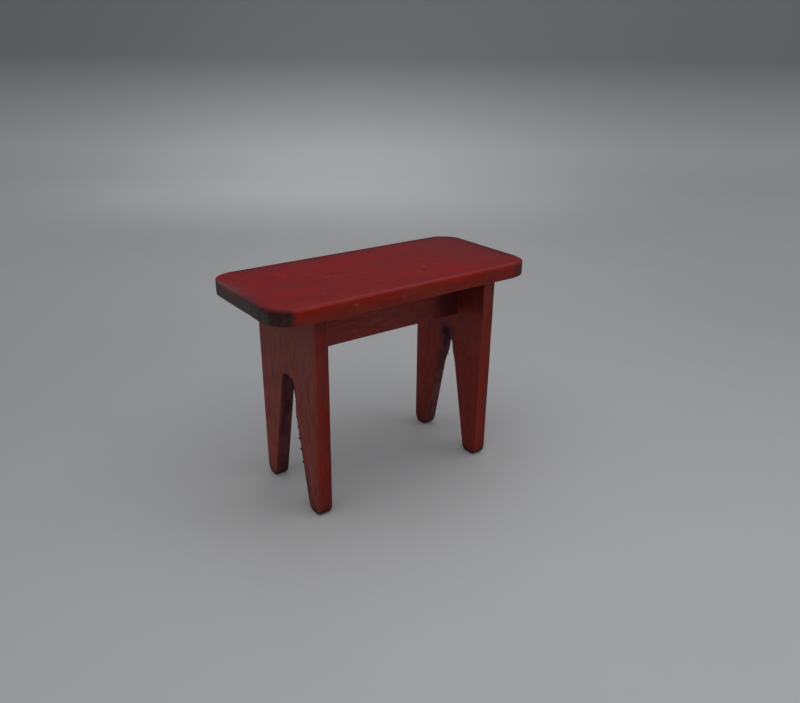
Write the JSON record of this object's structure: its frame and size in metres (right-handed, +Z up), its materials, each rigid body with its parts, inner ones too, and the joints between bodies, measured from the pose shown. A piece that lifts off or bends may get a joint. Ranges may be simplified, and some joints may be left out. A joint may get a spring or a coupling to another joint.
{
  "type": "miniature plank table",
  "caption": "Dolls house plank table in bench form: round-cornered top on notched end panels tied by a rail on edge, stained dark red.",
  "frame": {"origin": "on the floor, under the middle of the top board's outline", "axes": "+X along the top's length, to the right seen from the front; +Y towards the back; +Z up"},
  "size_m": [0.05, 0.023, 0.0371],
  "materials": {
    "top_wood": "satin dark red stain on close-grained wood, worn paler along the upper edges",
    "panel_wood": "thin satin dark red stain, brown on the faces and redder on the narrow edges",
    "rail_wood": "thin satin dark red stain"
  },
  "bodies": {
    "root": {"top_board": "top_wood", "left_leg_panel": "panel_wood", "right_leg_panel": "panel_wood", "centre_rail": "rail_wood"}
  },
  "joints": []
}
